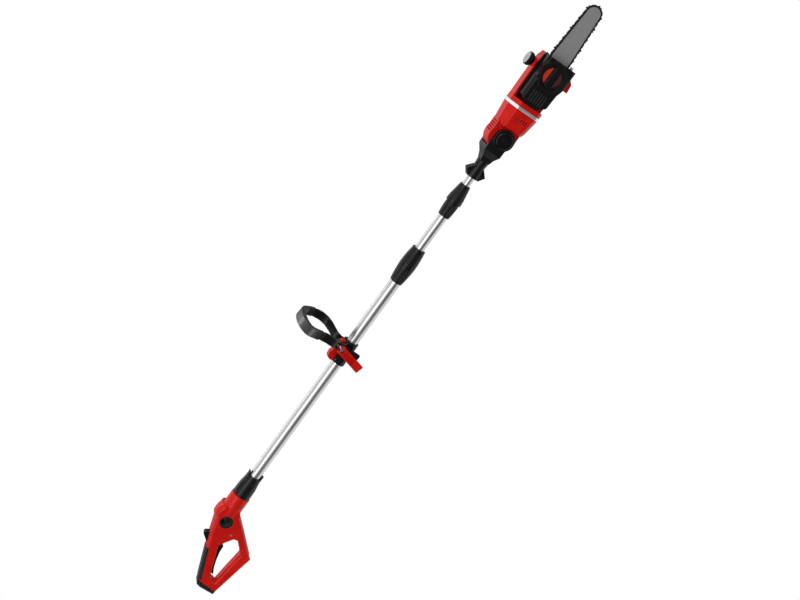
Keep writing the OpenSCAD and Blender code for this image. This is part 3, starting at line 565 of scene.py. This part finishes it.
def plate(bm, outline, y_low, y_high, centre, heading):
    """A flat plate whose outline (mm, along and out) is set on the chain at centre."""
    away = np.array([-heading[1], heading[0]])
    spots = [(centre + p * heading + q * away) * MM for p, q in outline]
    walls(bm, *[[bm.verts.new((x, y * MM, z)) for x, z in spots] for y in (y_low, y_high)])


def round_end(x, z, r, first, last, steps=6):
    """Points of an arc round (x, z), angles in degrees."""
    return [(x + r * math.cos(math.radians(first + (last - first) * k / steps)),
             z + r * math.sin(math.radians(first + (last - first) * k / steps))) for k in range(steps + 1)]


def drive_link(bm, half, middle, heading):
    """A middle link, with its tang down in the bar's groove."""
    outline = (round_end(half, 0, LINK_R, -20, 90) + round_end(-half, 0, LINK_R, 90, 200)
               + [(-half - 1.4, -3.4), (-2.2, -3.6), (-0.7, -7.4), (0.7, -7.4), (2.2, -3.6),
                  (half + 1.4, -3.4)])
    plate(bm, outline, CHAIN_Y - LINK_HW, CHAIN_Y + LINK_HW, middle, heading)


def straps(bm, half, middle, heading):
    """The pair of outer links."""
    outline = (round_end(half, 0, STRAP_R, 0, 90) + round_end(-half, 0, STRAP_R, 90, 180)
               + [(-half - 2.2, -STRAP_FLAT), (half + 2.2, -STRAP_FLAT)])
    for low in STRAP_LOWS:
        plate(bm, outline, CHAIN_Y + low, CHAIN_Y + low + STRAP_T, middle, heading)


def cutter(bm, side, middle, heading):
    """A tooth and its depth gauge on one side (0 right, 1 left), and the roof that cuts."""
    tooth_low = CHAIN_Y + TOOTH_LOWS[side]
    roof_low = CHAIN_Y + ROOF_LOWS[side]
    for outline in (TOOTH, GAUGE):
        plate(bm, outline, tooth_low, tooth_low + TOOTH_T, middle, heading)
    plate(bm, ROOF, roof_low, roof_low + ROOF_T, middle, heading)


def chain_faces():
    bm = bmesh.new()
    for i in range(RIVETS):
        a, b = rivet_at(i), rivet_at(i + 1)
        length = np.linalg.norm(b - a)
        heading, middle, half = (b - a) / length, (a + b) / 2, length / 2
        if i % 2:
            drive_link(bm, half, middle, heading)
            continue
        straps(bm, half, middle, heading)
        if i % CUTTER_EVERY == 0:
            cutter(bm, i // CUTTER_EVERY % 2, middle, heading)
    pin = round_end(0, 0, PIN_R, 0, 360, PIN_SIDES)[:-1]
    for i in range(RIVETS):
        plate(bm, pin, CHAIN_Y - PIN_HW, CHAIN_Y + PIN_HW, rivet_at(i), np.array([1.0, 0.0]))
    return bm


finished(sharp_object("chain_links", chain_faces()), "head", ["saw_chain"], "chain")

# ---------------------------------------------------------------- camera, floor and light
# The camera looks from the right and above, turned in its frame so that the pole rises to the right.
CAMERA_AT = (1.6301, -3.3438, 1.3135)
FOCAL = 60.75
SENSOR = 36
FRAME_COS, FRAME_SIN = 0.59394, 0.80451
turn, tilt, roll = math.radians(13.7), math.radians(21.5), math.radians(5.46)
level = Vector((math.cos(turn), math.sin(turn), 0))
ahead = Vector((-math.sin(turn) * math.cos(tilt), math.cos(turn) * math.cos(tilt), -math.sin(tilt)))
upward = level.cross(ahead)
along = level * math.cos(roll) - upward * math.sin(roll)
across = level * math.sin(roll) + upward * math.cos(roll)
cam_right = FRAME_COS * along - FRAME_SIN * across
cam_up = FRAME_SIN * along + FRAME_COS * across
camera = new_object("camera", bpy.data.cameras.new("camera"))
camera.data.lens = FOCAL
camera.data.sensor_width = SENSOR
facing = Matrix((cam_right, cam_up, -ahead)).transposed().to_4x4()
camera.matrix_world = Matrix.Translation(CAMERA_AT) @ facing
scene.camera = camera

scene.view_settings.view_transform = "Standard"
# How bright the sky is as light and in reflections, by height. To the camera it is white.
BANDS = [(0.0, 0.3), (0.15, 0.35), (0.35, 0.8), (0.6, 0.72), (1.0, 0.72)]
world = bpy.data.worlds.new("studio")
scene.world = world
world.use_nodes = True
sky = world.node_tree
coords = sky.nodes.new("ShaderNodeTexCoord")
split = sky.nodes.new("ShaderNodeSeparateXYZ")
ramp = sky.nodes.new("ShaderNodeValToRGB")
rays = sky.nodes.new("ShaderNodeLightPath")
choice = sky.nodes.new("ShaderNodeMix")
choice.data_type = "RGBA"
choice.inputs["B"].default_value = (1, 1, 1, 1)
for _ in range(len(BANDS) - 2):
    ramp.color_ramp.elements.new(0.5)
for stop, (height, value) in zip(ramp.color_ramp.elements, BANDS):
    stop.position = height
    stop.color = (value, value, value, 1)
sky.links.new(coords.outputs["Generated"], split.inputs["Vector"])
sky.links.new(split.outputs["Z"], ramp.inputs["Fac"])
sky.links.new(ramp.outputs["Color"], choice.inputs["A"])
sky.links.new(rays.outputs["Is Camera Ray"], choice.inputs["Factor"])
sky.links.new(choice.outputs["Result"], sky.nodes["Background"].inputs["Color"])
sky.nodes["Background"].inputs["Strength"].default_value = 1.0


def soft_light(name, place, target, length, width, power):
    """A long rectangular lamp, its length along the pole."""
    lamp = new_object(name, bpy.data.lights.new(name, "AREA"))
    lamp.data.shape = "RECTANGLE"
    lamp.data.size = length
    lamp.data.size_y = width
    lamp.data.energy = power
    lamp.location = place
    lamp.rotation_euler = (Vector(target) - Vector(place)).to_track_quat("-Z", "Y").to_euler()


soft_light("key", (0.7, -1.9, 1.75), (0.7, 0, 0), 4.6, 0.9, 29)
soft_light("back", (0.7, 1.9, 1.6), (0.7, 0, 0), 4.0, 0.5, 10)

# The floor is low enough for the bar when the head is tilted all the way down.
head_tilt = joint("head_tilt")
reach = cad_box[1][0] - head_tilt["pos_m"][0]
drop = reach * math.sin(math.radians(-head_tilt["range_deg"][0]))
FLOOR_ROOM = 0.06
floor_z = head_tilt["pos_m"][2] - drop - FLOOR_ROOM
FLOOR_R = 40
FLOOR_X = 0.6
FLOOR_SIDES = 64
floor_mesh = bpy.data.meshes.new("floor")
rim = [(FLOOR_X + FLOOR_R * math.cos(2 * math.pi * k / FLOOR_SIDES),
        FLOOR_R * math.sin(2 * math.pi * k / FLOOR_SIDES), floor_z) for k in range(FLOOR_SIDES)]
floor_mesh.from_pydata(rim, [], [list(range(FLOOR_SIDES))])
new_object("floor", floor_mesh)

# White to the camera. As light and in reflections it is bright under the pole, darker beside it.
BRIGHT, DIM = 0.85, 0.16
BRIGHT_TO, DIM_FROM = 0.58 * -floor_z, 1.24 * -floor_z
paper = Shader("floor_paper")
place = paper.node("ShaderNodeSeparateXYZ")
paper.link(paper.place, place.inputs["Vector"])
off_axis = paper.node("ShaderNodeMath", operation="ABSOLUTE")
paper.link(place.outputs["Y"], off_axis.inputs[0])
near_pole = paper.ranged(off_axis.outputs["Value"], BRIGHT, DIM, BRIGHT_TO, DIM_FROM)
bounce = paper.node("ShaderNodeEmission")
paper.link(near_pole, bounce.inputs["Strength"])
white = paper.node("ShaderNodeEmission", Strength=1.0)
seen = paper.node("ShaderNodeLightPath")
mixed = paper.node("ShaderNodeMixShader")
paper.link(seen.outputs["Is Camera Ray"], mixed.inputs["Fac"])
paper.link(bounce.outputs["Emission"], mixed.inputs[1])
paper.link(white.outputs["Emission"], mixed.inputs[2])
paper.link(mixed.outputs["Shader"], paper.tree.nodes["Material Output"].inputs["Surface"])
floor_mesh.materials.append(paper.mat)
